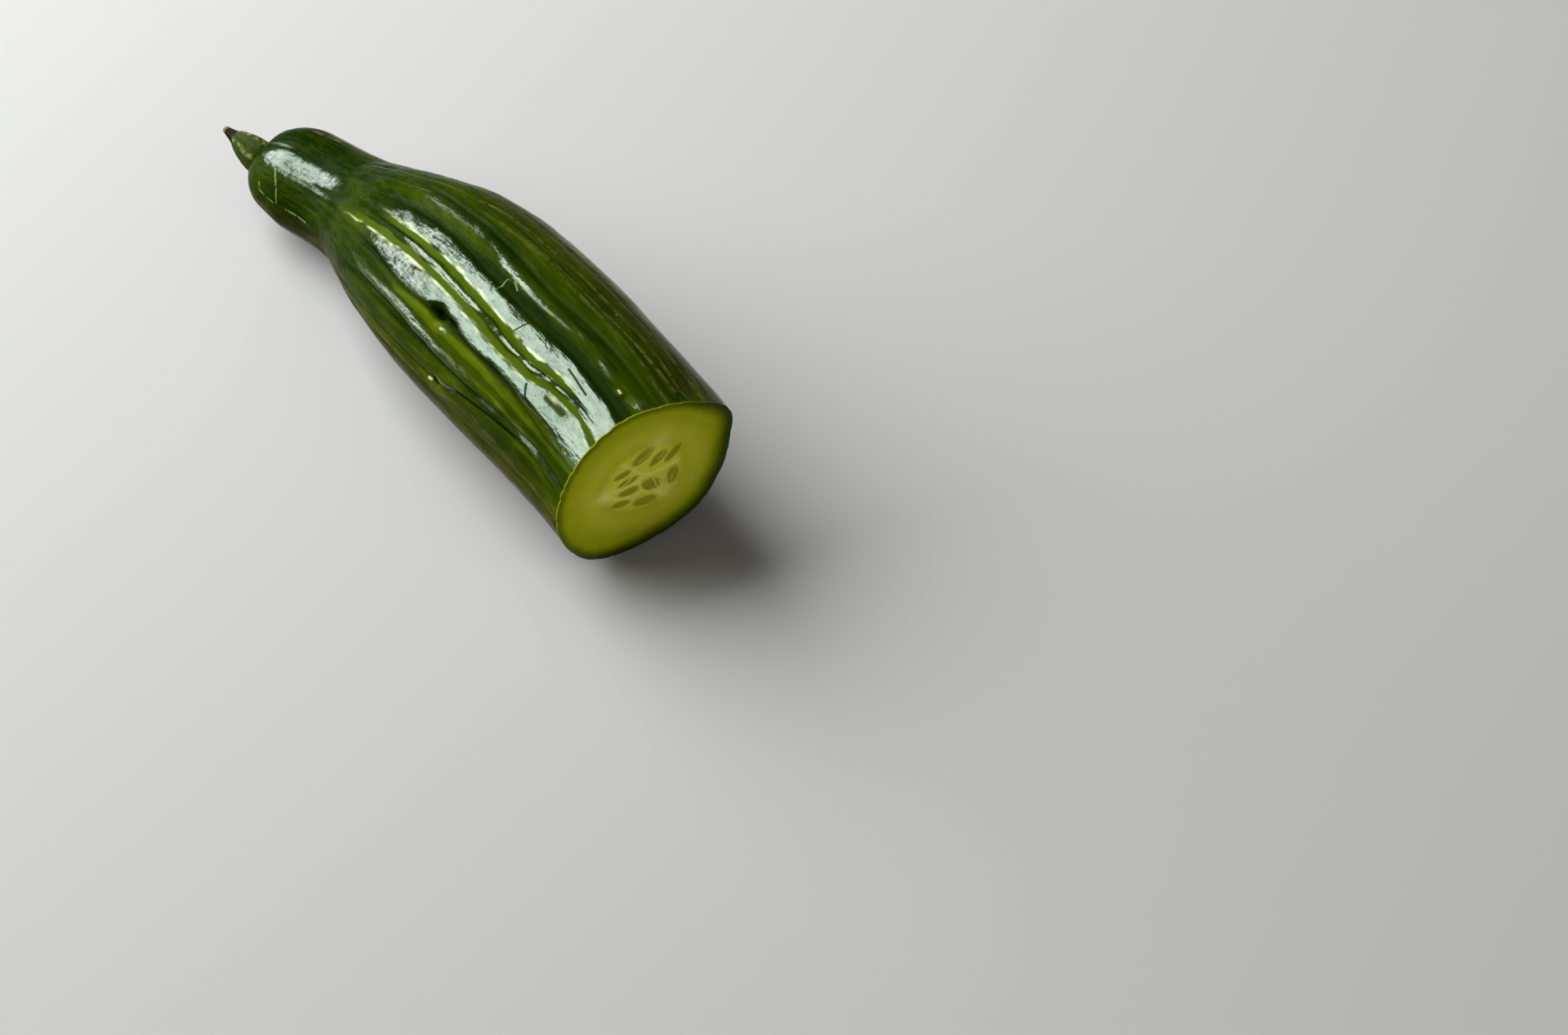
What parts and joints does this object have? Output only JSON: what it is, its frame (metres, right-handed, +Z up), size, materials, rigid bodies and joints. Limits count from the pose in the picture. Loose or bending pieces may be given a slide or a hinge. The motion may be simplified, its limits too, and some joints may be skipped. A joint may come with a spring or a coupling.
{
  "type": "cucumber",
  "caption": "Cut cucumber lying on its side: narrow stem end with a ridged stalk stub, fine lengthwise furrows on the body, and a flat cut face with seeds in low relief",
  "frame": {"origin": "on the surface that the part lies on, under the middle of its box", "axes": "+X from the stem end to the cut face, along the longest extent; +Y across; +Z up as it lies"},
  "size_m": [0.1538, 0.0442, 0.0418],
  "materials": {
    "skin": "waxy gloss, dark green with light green furrows",
    "flesh": "moist satin, olive yellow, a little translucent",
    "stem": "dull green with paler ridges and a withered brown tip"
  },
  "bodies": {
    "root": {"fruit": "skin", "stem": "stem"}
  },
  "joints": []
}
